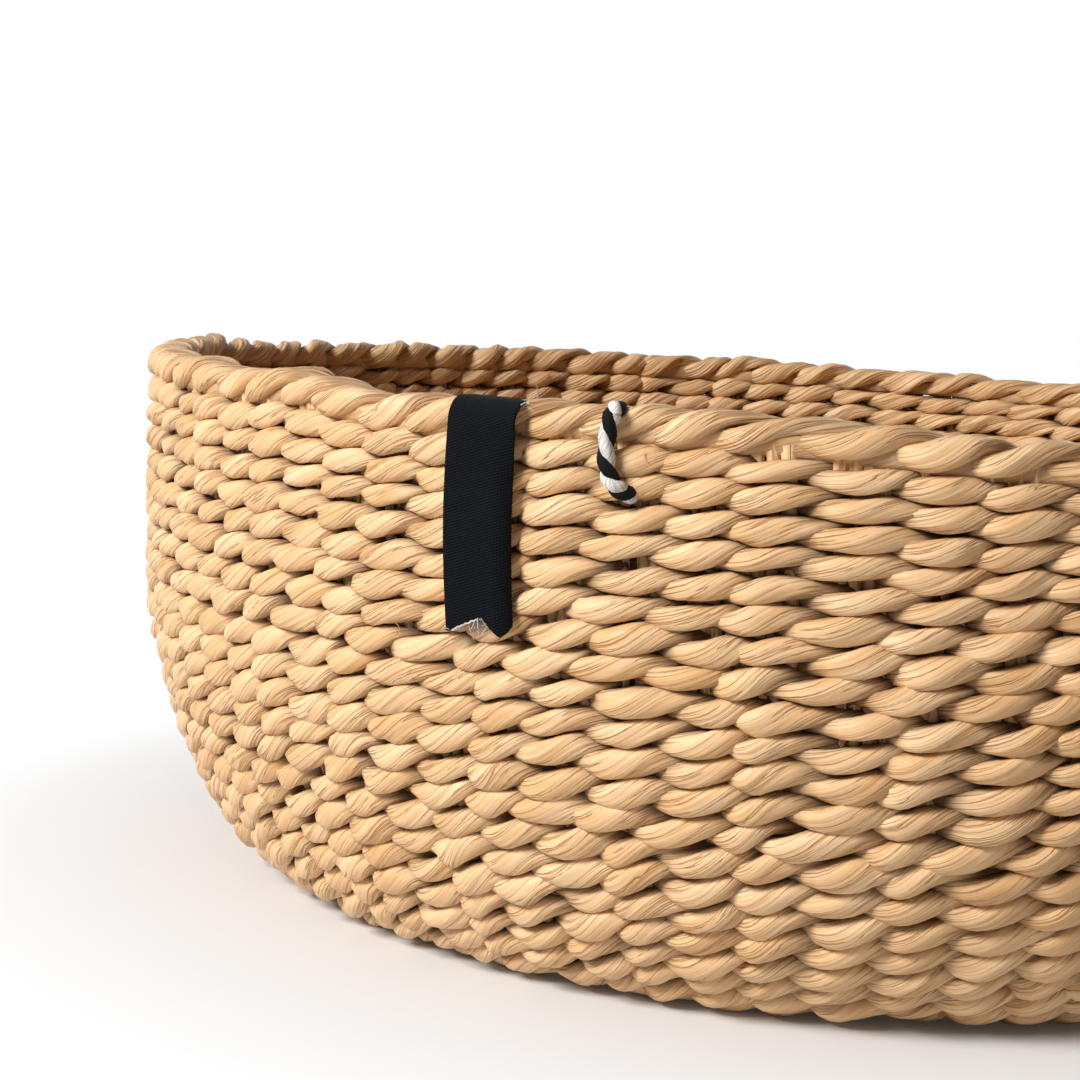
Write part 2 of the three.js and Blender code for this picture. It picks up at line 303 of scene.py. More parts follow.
class LabelSettings(bpy.types.PropertyGroup):
    """The ribbon label over the rim."""

    width: length_setting("Width", "Width of the ribbon", 0.0128, 0.001)
    thickness: length_setting("Thickness", "Thickness of the ribbon", 0.0006, 0.0001)
    top: length_setting("Top", "Height of the ribbon's middle where it lies on the border", 0.1089, 0.01)
    outer_drop: length_setting("Outer drop", "Height of the longer tail's tip under the top", 0.0398, 0.005)
    inner_drop: length_setting("Inner drop", "Height of the inner end under the top", 0.0215, 0.005)
    outer_radius: length_setting("Outer radius", "From the bowl's axis to the outer leg", 0.1524, 0.01)
    inner_radius: length_setting("Inner radius", "From the bowl's axis to the inner leg", 0.1405, 0.01)
    fold_radius: length_setting("Fold radius", "Radius of the bends over the border", 0.0038, 0.0005)
    colour: colour_setting("Colour", "Dark yarn of the ribbon", 0.0018, 0.0022, 0.0036)
    # painted highlight: the tops of the ribs are drawn paler, as where light catches them
    rib_highlight_colour: colour_setting("Rib colour", "Yarn on top of the twill's ribs", 0.0085, 0.0098, 0.0135)
    fray_colour: colour_setting("Fray colour", "Loose threads at the cut ends", 0.62, 0.63, 0.66)


class ThreadSettings(bpy.types.PropertyGroup):
    """The stitch of two-ply thread."""

    angle: angle_setting("Angle", "How far round from the label the stitch starts", math.radians(9.5))
    ply_radius: length_setting("Ply radius", "Radius of one ply", 0.00105, 0.0001)
    orbit: length_setting("Orbit", "From the thread's axis to the middle of a ply", 0.00047, 0.0001)
    turns: number_setting("Turns", "Turns of the two plies round each other", 4.0, min=0)
    black: colour_setting("Black", "Colour of the dark ply", 0.004, 0.004, 0.0045)
    white: colour_setting("White", "Colour of the pale ply", 0.85, 0.83, 0.79)


class StageSettings(bpy.types.PropertyGroup):
    """Floor, light and camera."""

    floor_colour: colour_setting("Floor colour", "Colour of the floor", 0.76, 0.77, 0.78)
    floor_radius: length_setting("Floor radius", "Radius of the floor", 0.75, 0.2)
    floor_fade: length_setting(
        "Floor fade", "From the bowl's axis to where the floor has faded to white", 0.195, 0.15)
    floor_lift: number_setting(
        "Floor lift", "White that the camera sees on the floor besides its light", 0.02, min=0, max=1)
    key_power: number_setting(
        "Key power", "Power of the large lamp at the front left, in watts", 38.0, min=0)
    ambient: number_setting("Ambient", "Strength of the even light from all sides", 0.11, min=0)
    ambient_colour: colour_setting("Ambient colour", "Colour of the even light", 1.0, 0.62, 0.34)
    camera_distance: length_setting(
        "Camera distance", "From the bowl's axis to the camera, along the floor", 0.520, 0.1)
    camera_height: length_setting("Camera height", "Height of the camera over the floor", 0.1306, 0)
    camera_azimuth: angle_setting(
        "Camera azimuth", "How far round from the label the camera stands", math.radians(21.9))
    camera_yaw: angle_setting("Camera yaw", "How far the camera looks past the axis, to its left", 0.1199)
    camera_pitch: angle_setting("Camera pitch", "How far the camera looks down", 0.1164)
    camera_roll: angle_setting("Camera roll", "How far the camera is tilted", 0.0648)
    lens: number_setting("Lens", "Focal length in millimetres", 76.07, min=10)


class BowlSettings(bpy.types.PropertyGroup):
    """Everything that a user would change."""

    shape: PointerProperty(type=BowlShape)
    weave: PointerProperty(type=WeaveSettings)
    paper: PointerProperty(type=PaperColours)
    label: PointerProperty(type=LabelSettings)
    thread: PointerProperty(type=ThreadSettings)
    stage: PointerProperty(type=StageSettings)


# Outline and places on the wall


class Outline:
    """The bowl's outer face in the (radius, height) plane, by distance from the base's edge."""

    def __init__(self, shape):
        steps = np.linspace(0, 1, OUTLINE_STEPS)[:, None]
        reach = shape.belly_radius - shape.base_radius
        corner_points = np.array([
            (shape.base_radius, 0),
            (shape.base_radius + shape.base_pull * reach, 0),
            (shape.belly_radius, shape.belly_height * (1 - shape.wall_pull)),
            (shape.belly_radius, shape.belly_height),
        ])
        weights = ((1 - steps) ** 3, 3 * steps * (1 - steps) ** 2, 3 * steps**2 * (1 - steps), steps**3)
        corner = sum(weight * point for weight, point in zip(weights, corner_points))
        base = np.array([(0, 0), (shape.base_radius * 0.5, 0)])
        wall = np.array([(shape.rim_radius, shape.rim_height)])
        points = np.concatenate([base, corner, wall])
        legs = np.diff(points, axis=0)
        lengths = np.hypot(legs[:, 0], legs[:, 1])
        self.distance = np.concatenate([[0], np.cumsum(lengths)]) - shape.base_radius
        self.points = points
        self.slope_at = (self.distance[1:] + self.distance[:-1]) / 2
        self.slope = np.arctan2(legs[:, 1], legs[:, 0])
        self.length = self.distance[-1]

    def at(self, distance):
        """Radius, height and slope at some distances. Past the rim the wall goes straight on."""
        over = np.maximum(distance - self.length, 0)
        radius = np.interp(distance, self.distance, self.points[:, 0]) + over * math.cos(self.slope[-1])
        height = np.interp(distance, self.distance, self.points[:, 1]) + over * math.sin(self.slope[-1])
        return radius, height, np.interp(distance, self.slope_at, self.slope)

    def crowding(self, distance, depth):
        """How much closer the rounds lie at a depth than at the outer face."""
        step = 1 * MM
        low = np.interp(distance - step, self.slope_at, self.slope)
        high = np.interp(distance + step, self.slope_at, self.slope)
        return np.clip(1 - depth * (high - low) / (2 * step), LEAST_CROWDING, 1)


def round_axis(angle):
    """Unit vector that points away from the bowl's axis, at an angle round from the label."""
    return np.stack([np.sin(angle), -np.cos(angle), np.zeros_like(angle)], -1)


def wall_frame(outline, angle, distance, depth):
    """Places on the wall with the direction out of its face and the direction up along it."""
    radius, height, slope = outline.at(distance)
    away = round_axis(angle)
    up = np.array([0.0, 0.0, 1.0])
    sine = np.sin(slope)[:, None]
    cosine = np.cos(slope)[:, None]
    outward = away * sine - up * cosine
    along = away * cosine + up * sine
    place = away * radius[:, None] + up * height[:, None] - outward * depth[:, None]
    return place, outward, along


def rim_sway(angle, share):
    """How far the rounds rise and dip round the bowl: nothing at the base and most at the rim."""
    return np.interp(np.degrees(angle), RIM_ANGLES, RIM_RISES, period=360) * MM * share**SWAY_POWER


def eased(share):
    """A share from 0 to 1 that starts and ends gently."""
    return share * share * (3 - 2 * share)


class Weave:
    """The sizes that the strands and the stakes share."""

    def __init__(self, settings):
        self.shape = settings.shape
        self.set = settings.weave
        self.outline = Outline(settings.shape)
        self.woven = self.outline.length - self.set.border_height
        self.uneven = self.set.unevenness
        random = np.random.default_rng(SEED_STAKES)
        self.phases = random.uniform(0, TURN, self.set.stakes)
        self.waves = random.uniform(-STAKE_WAVES * TURN, STAKE_WAVES * TURN, self.set.stakes)

    def edge(self, number):
        """Distance up the outline to the lower edge of a round."""
        share = number / self.set.wall_rounds
        return self.woven * (share + self.set.spread * share * (1 - share))

    def even_turn(self, stake):
        """Angle of a place between stakes that stand wider apart on some sides of the bowl."""
        turn = stake * TURN / self.set.stakes
        bunched = np.sin(BUNCH_LOBES * (turn - BUNCH_AT)) + math.sin(BUNCH_LOBES * BUNCH_AT)
        return turn + BUNCHING / BUNCH_LOBES * bunched

    def wander(self, stake, distance):
        """How far a stake stands from its even place, in stakes."""
        row = np.array(stake, int) % self.set.stakes
        phase = self.phases[row] + distance / self.woven * self.waves[row]
        return STAKE_WANDER * self.uneven * np.sin(phase)

    def turn_of(self, stake, distance):
        """Angle at a place between stakes, at some distance up the wall."""
        before = np.floor(stake)
        share = eased(stake - before)
        off = self.wander(before, distance) * (1 - share) + self.wander(before + 1, distance) * share
        lean = self.set.lean * (self.outline.length - np.maximum(distance, 0)) / self.shape.rim_radius
        return self.even_turn(stake + off) + lean


# Random drifts


def drift(random, count, samples, size):
    """Smooth random drift round a closed strand: one value for each stake, eased from one to the next."""
    values = random.normal(0, size, count)
    here = np.repeat(values, samples)
    following = np.repeat(np.roll(values, -1), samples)
    share = np.tile(np.arange(samples) / samples, count)
    return here + (following - here) * eased(share)


# Strands and their tubes


@dataclass
class Strand:
    """One strand: its line, its directions, its half sizes and how it is folded and twisted.

    Each value is one number for the whole strand, or one for each point of its line.
    """

    line: np.ndarray
    outward: np.ndarray
    along: np.ndarray
    thick: np.ndarray
    tall: np.ndarray
    twist: np.ndarray = 0.0
    folds: np.ndarray = 0.0  # one row of depths for each of FOLD_COUNTS
    phases: np.ndarray = 0.0
    length: np.ndarray = 0.0  # place along the strand, for its material
    out: np.ndarray = 0.0  # of its line from the middle of the stakes
    pinch: np.ndarray = 0.0  # 0 where it is full, 1 where it is pressed together
    shade: np.ndarray = 0.0  # how strongly painted shade darkens it in the gaps
    closed: bool = True

    def __post_init__(self):
        steps = len(self.line)
        for name in ("thick", "tall", "twist", "length", "out", "pinch", "shade"):
            setattr(self, name, np.broadcast_to(getattr(self, name), steps))
        self.outward = np.broadcast_to(self.outward, (steps, 3))
        self.along = np.broadcast_to(self.along, (steps, 3))
        self.folds = np.broadcast_to(self.folds, (len(FOLD_COUNTS), steps))
        self.phases = np.broadcast_to(self.phases, len(FOLD_COUNTS))


def tubes(name, strands, sides):
    """A mesh with a round tube along each strand's line: one ring of sides for each of its points."""
    curve = bpy.data.curves.new(name, "CURVE")
    curve.dimensions = "3D"
    curve.twist_mode = "Z_UP"
    curve.bevel_depth = TUBE_RADIUS
    curve.bevel_resolution = sides // 2 - 2
    for strand in strands:
        spline = curve.splines.new("POLY")
        spline.points.add(len(strand.line) - 1)
        points = np.column_stack([strand.line, np.ones(len(strand.line))])
        spline.points.foreach_set("co", points.ravel().astype(np.float32))
        spline.use_cyclic_u = strand.closed
    holder = bpy.data.objects.new(name, curve)
    bpy.context.scene.collection.objects.link(holder)
    graph = bpy.context.evaluated_depsgraph_get()
    mesh = bpy.data.meshes.new_from_object(holder.evaluated_get(graph))
    bpy.data.objects.remove(holder)
    bpy.data.curves.remove(curve)
    mesh.name = name
    expected = sum(len(strand.line) for strand in strands) * sides
    if len(mesh.vertices) != expected:
        raise RuntimeError(f"{name}: {len(mesh.vertices)} vertices in place of {expected}")
    return mesh


def shape_tube(ring_points, strand):
    """Gives the rings of a tube the strand's section and folds: places, and values for its material, among
    them its painted shade in the gaps.
    """
    centre = strand.line[:, None, :]
    spoke = ring_points - centre
    spoke /= np.linalg.norm(spoke, axis=2, keepdims=True)
    outward = strand.outward[:, None, :]
    along = strand.along[:, None, :]
    across = (spoke * outward).sum(2)
    upward = (spoke * along).sum(2)
    rest = spoke - across[..., None] * outward - upward[..., None] * along
    angle = np.arctan2(upward, across)
    wound = angle - strand.twist[:, None]
    factor = (np.abs(np.cos(angle)) ** BOXINESS + np.abs(np.sin(angle)) ** BOXINESS) ** (-1 / BOXINESS)
    for count, depth, phase in zip(FOLD_COUNTS, strand.folds, strand.phases):
        factor += depth[:, None] * np.cos(count * wound + phase)
    thick = strand.thick[:, None, None]
    tall = strand.tall[:, None, None]
    offset = across[..., None] * outward * thick + upward[..., None] * along * tall + rest * thick
    offset *= factor[..., None]
    size = float(strand.tall.max() + strand.thick.max()) / 2 / MM
    length = np.broadcast_to(strand.length[:, None] / MM, angle.shape)
    grain = np.stack([size * np.cos(wound), size * np.sin(wound), length], -1)
    # painted shade in the gaps: strongest near the middle of the stakes and where the strand has turned
    # through to their other side
    raised = (offset * outward).sum(2)
    out = strand.out[:, None]
    from_stakes = np.tanh(out / TURN_IN + np.sign(raised)) * (out + raised)
    gap = strand.shade[:, None] * np.clip(1 - from_stakes / GAP_SHADE_DEPTH, 0, 1)
    pinch = np.broadcast_to(strand.pinch[:, None], angle.shape)
    places = centre + offset
    places[..., 2] = np.maximum(places[..., 2], 0)  # the base stands flat on the floor
    return places, grain, np.stack([pinch, gap, np.zeros_like(gap)], -1)


def whole_numbers(items, name):
    """One whole number from each of a mesh's items."""
    values = np.empty(len(items), np.int32)
    items.foreach_get(name, values)
    return values


def bake_strips(mesh, strands, sides, rows):
    """A map for baking, in which every strand is cut into rows of strips that don't overlap."""
    vertex = whole_numbers(mesh.loops, "vertex_index")
    start = whole_numbers(mesh.polygons, "loop_start")
    face = np.repeat(np.arange(len(start)), whole_numbers(mesh.polygons, "loop_total"))
    counts = np.array([len(strand.line) for strand in strands])
    first_ring = np.concatenate([[0], np.cumsum(counts)])
    ring = vertex // sides
    owner = np.searchsorted(first_ring, ring, side="right") - 1
    ring = ring - first_ring[owner]
    side = vertex % sides
    around = counts[owner]
    low_ring = np.minimum.reduceat(ring, start)[face]
    high_ring = np.maximum.reduceat(ring, start)[face]
    low_side = np.minimum.reduceat(side, start)[face]
    high_side = np.maximum.reduceat(side, start)[face]
    ring = np.where((high_ring - low_ring > 1) & (ring == 0), around, ring)
    side = np.where((high_side - low_side > 1) & (side == 0), sides, side)
    first = np.where(high_ring - low_ring > 1, around - 1, low_ring)
    row = first * rows // around
    per_row = np.ceil(around / rows) + 1
    across = BAKE_ENDS + (1 - 2 * BAKE_ENDS) * (ring - np.ceil(row * around / rows)) / per_row
    inset = BAKE_EDGES + (1 - 2 * BAKE_EDGES) * side / sides
    upward = (owner * rows + row + inset) / (len(strands) * rows)
    layer = mesh.uv_layers.new(name="OFBake")
    layer.uv.foreach_set("vector", np.column_stack([across, upward]).ravel().astype(np.float32))


def close_ends(mesh):
    """Closes the open ends of tubes."""
    shape = bmesh.new()
    shape.from_mesh(mesh)
    open_edges = [edge for edge in shape.edges if edge.is_boundary]
    if open_edges:
        bmesh.ops.holes_fill(shape, edges=open_edges, sides=0)
        shape.to_mesh(mesh)
    shape.free()


def strand_piece(name, strands, sides, material, rows=6):
    """One piece of the bowl from its strands."""
    mesh = tubes(name, strands, sides)
    places = np.empty(len(mesh.vertices) * 3, np.float32)
    mesh.vertices.foreach_get("co", places)
    places = places.reshape(-1, sides, 3).astype(float)
    grain = np.zeros_like(places)
    pinch_and_shade = np.zeros_like(places)
    first = 0
    for strand in strands:
        last = first + len(strand.line)
        places[first:last], grain[first:last], pinch_and_shade[first:last] = shape_tube(places[first:last], strand)
        first = last
    mesh.vertices.foreach_set("co", places.ravel().astype(np.float32))
    # the second attribute holds how pressed the paper is, and how much painted shade darkens it in the gaps
    for label, values in (("grain", grain), ("pinch_and_shade", pinch_and_shade)):
        attribute = mesh.attributes.new(label, "FLOAT_VECTOR", "POINT")
        attribute.data.foreach_set("vector", values.ravel().astype(np.float32))
    bake_strips(mesh, strands, sides, rows)
    close_ends(mesh)
    mesh.polygons.foreach_set("use_smooth", np.ones(len(mesh.polygons), bool))
    mesh.update()
    return piece_of(name, mesh, material)


def piece_of(name, mesh, material):
    """A piece at the origin with one material."""
    mesh.materials.clear()
    mesh.materials.append(material)
    piece = bpy.data.objects.new(name, mesh)
    bpy.context.scene.collection.objects.link(piece)
    return piece


def fullness(stake):
    """Height of a strand as it passes a stake: full from where it comes out, and thin where it goes in."""
    drawn = 0.5 + 0.5 * np.cos(math.pi * (stake - THIN_AT))
    head = 0.5 + 0.5 * np.cos(math.pi * (stake - HEAD_AT))
    return 1 - TAPER * drawn**TAPER_POWER - HEAD_TAPER * head**2


def held_swing(stake):
    """How far out a strand is as it passes a stake, from -1 to 1."""
    place = math.pi * (stake + RADIAL_SKEW)
    wave = np.cos(place) - HEAD_START * np.sin(2 * place)
    return np.tanh(SWING_HOLD * wave) / math.tanh(SWING_HOLD)


@dataclass
class Round:
    """One twined round: where it lies, the size of its stitches and how finely it is made."""

    middle: float  # distance up the outline
    height: float  # of a stitch at its fullest
    slant: float
    count: int  # of the stakes that it passes
    samples: int  # rings of a strand for each stake
    shift: float = 0.0  # of its stitches along the stakes, in stakes
    # how strongly painted shade darkens its gaps
    shade: float = 1.0
    twine: float = 1.0  # how much its strands swing and taper, 0 for a plain ring


def twined_strand(weave, made, which, random):
    """One of the two strands of a twined round, 0 or 1."""
    outline = weave.outline
    settings = weave.set
    uneven = weave.uneven
    count = made.count

    def drifting(size):
        return drift(random, count, made.samples, size * uneven)

    stake = np.arange(count * made.samples) / made.samples
    passed = stake - which + made.shift + drifting(SHIFT_DRIFT)
    angle = weave.turn_of(stake, made.middle) if count == settings.stakes else stake * TURN / count
    share = np.clip(made.middle / outline.length, 0, 1)
    rise = made.slant * np.sin(math.pi * passed) + drifting(RISE_DRIFT) * made.height
    distance = made.middle + rise + rim_sway(angle, share)
    swung = held_swing(passed)
    out = made.twine * settings.swing * (1 + drifting(SWING_DRIFT)) * swung + drifting(OUT_DRIFT)
    depth = weave.shape.stake_depth - out
    line, outward, along = wall_frame(outline, angle, distance, depth)
    full = 1 - made.twine * (1 - fullness(passed))
    inside = made.twine * np.clip(-swung, 0, 1)
    size = 1 + drifting(SIZE_DRIFT)
    pinch = np.clip((1 - full) / TAPER, 0, 1)
    folds = [(0.5 + pinch) * (least + np.abs(drifting(least))) for least in FOLD_DEPTHS]
    turns = round(settings.twist * count)
    reach = TURN * float(outline.at(np.array([made.middle]))[0][0]) / count
    return Strand(
        line=line,
        outward=outward,
        along=along,
        thick=size * settings.strand_thickness / 2 * (1 + SQUEEZE * pinch),
        tall=size * (full + INNER_FULLNESS * inside) * made.height / 2 * outline.crowding(distance, depth),
        twist=TURN * turns * stake / count + drifting(TWIST_DRIFT),
        folds=np.array(folds),
        phases=random.uniform(0, TURN, len(FOLD_COUNTS)),
        length=np.abs(stake - count / 2) * reach + random.uniform(0, GRAIN_SHIFT),
        out=out,
        pinch=pinch,
        shade=made.shade,
    )


def thin_strand(line, radius, tip=0.5):
    """A thin round thread along a line. Tip is the size of its far end."""
    size = radius * np.linspace(1, tip, len(line))
    legs = np.linalg.norm(np.diff(line, axis=0), axis=1)
    length = np.concatenate([[0], np.cumsum(legs)])
    return Strand(line, (0.0, -1.0, 0.0), (0.0, 0.0, 1.0), size, size, length=length, closed=False)


def smooth_course(points, steps):
    """A smooth line through some points."""
    padded = np.concatenate([[2 * points[0] - points[1]], points, [2 * points[-1] - points[-2]]])
    place = np.linspace(0, len(points) - 1, steps)
    leg = np.minimum(place.astype(int), len(points) - 2)
    share = (place - leg)[:, None]
    before, start, end, after = (padded[leg + step] for step in range(4))
    bend = 2 * before - 5 * start + 4 * end - after
    twist = 3 * (start - end) + after - before
    return start + 0.5 * share * (end - before + share * (bend + share * twist))


def carried_normals(line, normal):
    """Directions square to a line, carried along it without turning round it."""
    tangents = np.gradient(line, axis=0)
    tangents /= np.linalg.norm(tangents, axis=1, keepdims=True)
    normals = []
    for tangent in tangents:
        normal = normal - tangent * normal.dot(tangent)
        normal = normal / np.linalg.norm(normal)
        normals.append(normal)
    return np.array(normals), tangents


# The label's ribbon


class Ribbon:
    """The label's course: up inside the wall, over the border and down outside."""

    def __init__(self, label):
        self.label = label
        bend = label.fold_radius
        inside, outside, top = label.inner_radius, label.outer_radius, label.top
        quarter = np.linspace(0, math.pi / 2, 10)
        near = bend * (1 - np.cos(quarter))
        far = bend * (1 - np.sin(quarter))
        rising = np.column_stack([inside + near, top - far])
        falling = np.column_stack([outside - far, top - near])
        ends = [[(inside, top - label.inner_drop)], [(outside, top - label.outer_drop)]]
        self.points = np.concatenate([ends[0], rising, falling, ends[1]])
        legs = np.diff(self.points, axis=0)
        self.distance = np.concatenate([[0], np.cumsum(np.hypot(legs[:, 0], legs[:, 1]))])
        self.turn_at = (self.distance[1:] + self.distance[:-1]) / 2
        self.turn = np.arctan2(legs[:, 1], legs[:, 0])
        self.length = self.distance[-1]
        self.leg_start = self.distance[-2]

    def end_at(self, across):
        """Length of the ribbon at a place across it, from -1 to 1."""
        return self.length - np.interp(across, CUT_ACROSS, CUT_RISE) * MM

    def at(self, across, distance, lift=0.0):
        """Places on the ribbon, or over its outer face by some lift."""
        half = self.label.width / 2
        out = np.interp(distance, self.distance, self.points[:, 0])
        height = np.interp(distance, self.distance, self.points[:, 1])
        turn = np.interp(distance, self.turn_at, self.turn)
        down = np.clip((distance - self.leg_start) / (self.length - self.leg_start), 0, 1)
        hang = np.sin(math.pi * down)
        straight = np.minimum(across, ROLL_FROM) * half
        loose = np.clip(across - ROLL_FROM, 0, None) * half
        rolled = loose / ROLL_RADIUS * np.clip(down * ROLL_ONSET, 0, ROLL_START + ROLL_GAIN * down)
        bending = rolled > LEAST_ROLL
        turned = np.maximum(rolled, LEAST_ROLL)
        bent = np.where(bending, loose * np.sin(rolled) / turned, loose)
        back = np.where(bending, loose * (1 - np.cos(rolled)) / turned, 0)
        aside = straight + bent - LEG_BOW * hang + LEG_LEAN * down * (self.length - self.leg_start)
        over = lift - back + LEG_STAND * hang
        return np.stack([aside, -(out - np.sin(turn) * over), height + np.cos(turn) * over], -1)


# Materials


class Nodes:
    """The nodes of a material or a world, with short ways to make and join them."""

    def __init__(self, tree):
        self.tree = tree
        self.link = tree.links.new

    def put(self, value, socket):
        """Gives a socket a value of its own, or links another socket to it."""
        if isinstance(value, bpy.types.NodeSocket):
            self.link(value, socket)
        else:
            socket.default_value = value

    def add(self, kind, **settings):
        """A node with its own settings and the values of its sockets, named in words with _ between."""
        node = self.tree.nodes.new(kind)
        for key, value in settings.items():
            if hasattr(node, key):
                setattr(node, key, value)
            else:
                self.put(value, node.inputs[key.replace("_", " ").title()])
        return node

    def arithmetic(self, operation, first, second=0.0):
        """One step of arithmetic on two values, each a socket or a number."""
        node = self.add("ShaderNodeMath", operation=operation)
        self.put(first, node.inputs[0])
        self.put(second, node.inputs[1])
        return node.outputs[0]

    def plus(self, first, second):
        return self.arithmetic("ADD", first, second)

    def less(self, first, second):
        return self.arithmetic("SUBTRACT", first, second)

    def times(self, first, second):
        return self.arithmetic("MULTIPLY", first, second)

    def larger(self, first, second):
        return self.arithmetic("MAXIMUM", first, second)

    def mix(self, share, first, second):
        """A mix of two colours, each a socket or a colour."""
        node = self.add("ShaderNodeMix", data_type="RGBA")
        self.link(share, node.inputs["Factor"])
        for socket, value in zip((node.inputs[6], node.inputs[7]), (first, second)):
            linked = isinstance(value, bpy.types.NodeSocket)
            self.put(value if linked else (*value, 1), socket)
        return node.outputs[2]

    def remap(self, value, low, high):
        """Spreads a value so that low becomes 0 and high becomes 1, with the ends held."""
        return self.add("ShaderNodeMapRange", from_min=low, from_max=high, value=value).outputs["Result"]

    def attribute(self, name):
        """A value that the mesh holds for each of its points."""
        return self.add("ShaderNodeAttribute", attribute_name=name).outputs["Vector"]

    def grain_noise(self, grain, stretch, scale, detail):
        """Noise that runs along the strand: stretch is below 1."""
        mapping = self.add("ShaderNodeMapping", vector=grain, scale=(1, 1, stretch))
        place = mapping.outputs["Vector"]
        return self.add("ShaderNodeTexNoise", vector=place, scale=scale, detail=detail).outputs["Fac"]

    def seen_directly(self):
        """1 where the camera sees a surface itself, in a reflection or through glass."""
        path = self.add("ShaderNodeLightPath").outputs
        shown = self.larger(path["Is Camera Ray"], path["Is Glossy Ray"])
        return self.larger(shown, path["Is Transmission Ray"])


def new_material(name):
    """A material with its nodes and its shader."""
    material = bpy.data.materials.new(name)
    material.use_nodes = True
    nodes = Nodes(material.node_tree)
    return material, nodes, material.node_tree.nodes["Principled BSDF"]


def finish_surface(nodes, shader, colour, roughness, specular):
    """Joins the colour and the roughness to the shader, and sets one level of shine all over."""
    nodes.link(colour, shader.inputs["Base Color"])
    nodes.link(roughness, shader.inputs["Roughness"])
    shader.inputs["Specular IOR Level"].default_value = specular


def raise_surface(nodes, shader, height, strength, depth):
    """Gives the surface fine relief from a height."""
    bump = nodes.add("ShaderNodeBump", strength=strength, distance=depth)
    nodes.link(height, bump.inputs["Height"])
    nodes.link(bump.outputs["Normal"], shader.inputs["Normal"])


def paper_material(name, colours, crease_depth):
    """Twisted kraft paper: folds along the twist, creased where the strand is pressed, with painted shade
    along the creases and in the gaps.
    """
    material, nodes, shader = new_material(name)
    grain = nodes.attribute("grain")
    pinch_and_shade = nodes.add("ShaderNodeSeparateXYZ", vector=nodes.attribute("pinch_and_shade"))
    pinch = pinch_and_shade.outputs["X"]
    # how much painted shade darkens the paper in the gaps
    gap = pinch_and_shade.outputs["Y"]
    streaks = nodes.grain_noise(grain, stretch=0.05, scale=1.5, detail=4)
    folds = nodes.grain_noise(grain, stretch=0.06, scale=0.5, detail=2)
    stretches = nodes.grain_noise(grain, stretch=0.35, scale=0.16, detail=2)
    ridge = nodes.arithmetic("ABSOLUTE", nodes.less(folds, 0.5))
    width = nodes.plus(nodes.times(pinch, PINCHED_CREASE), LEAST_CREASE)
    crease_and_shade = nodes.larger(nodes.less(1, nodes.arithmetic("DIVIDE", ridge, width)), 0)
    tone = nodes.plus(nodes.times(streaks, 0.5), nodes.times(stretches, 0.5))
    body = nodes.mix(nodes.remap(tone, 0.36, 0.64), colours.deep, colours.light)
    # painted shade along the creases; the same lines are cut into the relief below
    lined = nodes.mix(nodes.times(crease_and_shade, 0.7), body, colours.crease_and_shade)
    # painted shade deep in the gaps between the stitches
    shaded = nodes.mix(nodes.times(gap, 0.95), lined, colours.gap)
    worn = nodes.plus(nodes.times(stretches, PAPER_WEAR), colours.roughness - PAPER_WEAR / 2)
    # the painted shade's mask also makes the paper rough in the gaps
    finish_surface(nodes, shader, shaded, nodes.larger(worn, gap), specular=0.2)
    raised = nodes.plus(nodes.times(streaks, 0.4), nodes.times(folds, 1.3))
    height = nodes.less(raised, nodes.times(crease_and_shade, 0.6))
    raise_surface(nodes, shader, height, strength=0.7, depth=crease_depth)
    return material


def twill_material(name, label):
    """Woven twill ribbon: slanting ribs that are broken into short floats of yarn, with a painted highlight
    on the ribs.
    """
    material, nodes, shader = new_material(name)
    place = nodes.add("ShaderNodeUVMap", uv_map="Ribbon").outputs["UV"]
    turned = nodes.add("ShaderNodeMapping", vector=place, rotation=(0, 0, TWILL_SLANT)).outputs["Vector"]
    ribs = nodes.add(
        "ShaderNodeTexWave", wave_type="BANDS", bands_direction="Y",
        vector=turned, scale=0.68, distortion=0.6).outputs["Fac"]
    floats = nodes.add(
        "ShaderNodeTexWave", wave_type="BANDS", bands_direction="X",
        vector=place, scale=0.62, distortion=2.0).outputs["Fac"]
    fuzz = nodes.add("ShaderNodeTexNoise", vector=place, scale=4.0, detail=3.0).outputs["Fac"]
    rib = nodes.times(ribs, nodes.plus(nodes.times(floats, 0.5), 0.5))
    lit = nodes.times(rib, nodes.remap(fuzz, 0.25, 0.7))
    # painted highlight on the ribs over the dark yarn; the ribs are raised in the relief too
    colour = nodes.mix(lit, label.colour, label.rib_highlight_colour)
    matt = nodes.less(0.9, nodes.times(lit, 0.3))
    finish_surface(nodes, shader, colour, matt, specular=0.1)
    raise_surface(nodes, shader, rib, strength=0.8, depth=0.25 * MM)
    return material


def yarn_material(name, colour, shade):
    """Spun yarn: fine fibres that wind along it."""
    material, nodes, shader = new_material(name)
    fibres = nodes.grain_noise(nodes.attribute("grain"), stretch=0.12, scale=5.0, detail=3)
    body = nodes.mix(nodes.remap(fibres, 0.35, 0.6), shade, colour)
    matt = nodes.less(0.95, nodes.times(fibres, 0.3))
    finish_surface(nodes, shader, body, matt, specular=0.15)
    raise_surface(nodes, shader, fibres, strength=0.6, depth=0.1 * MM)
    return material


def paper_for_strands(settings):
    """The cord's material, made once."""
    found = bpy.data.materials.get("twisted_paper")
    return found or paper_material("twisted_paper", settings.paper, CORD_CREASE_DEPTH)


# Operators


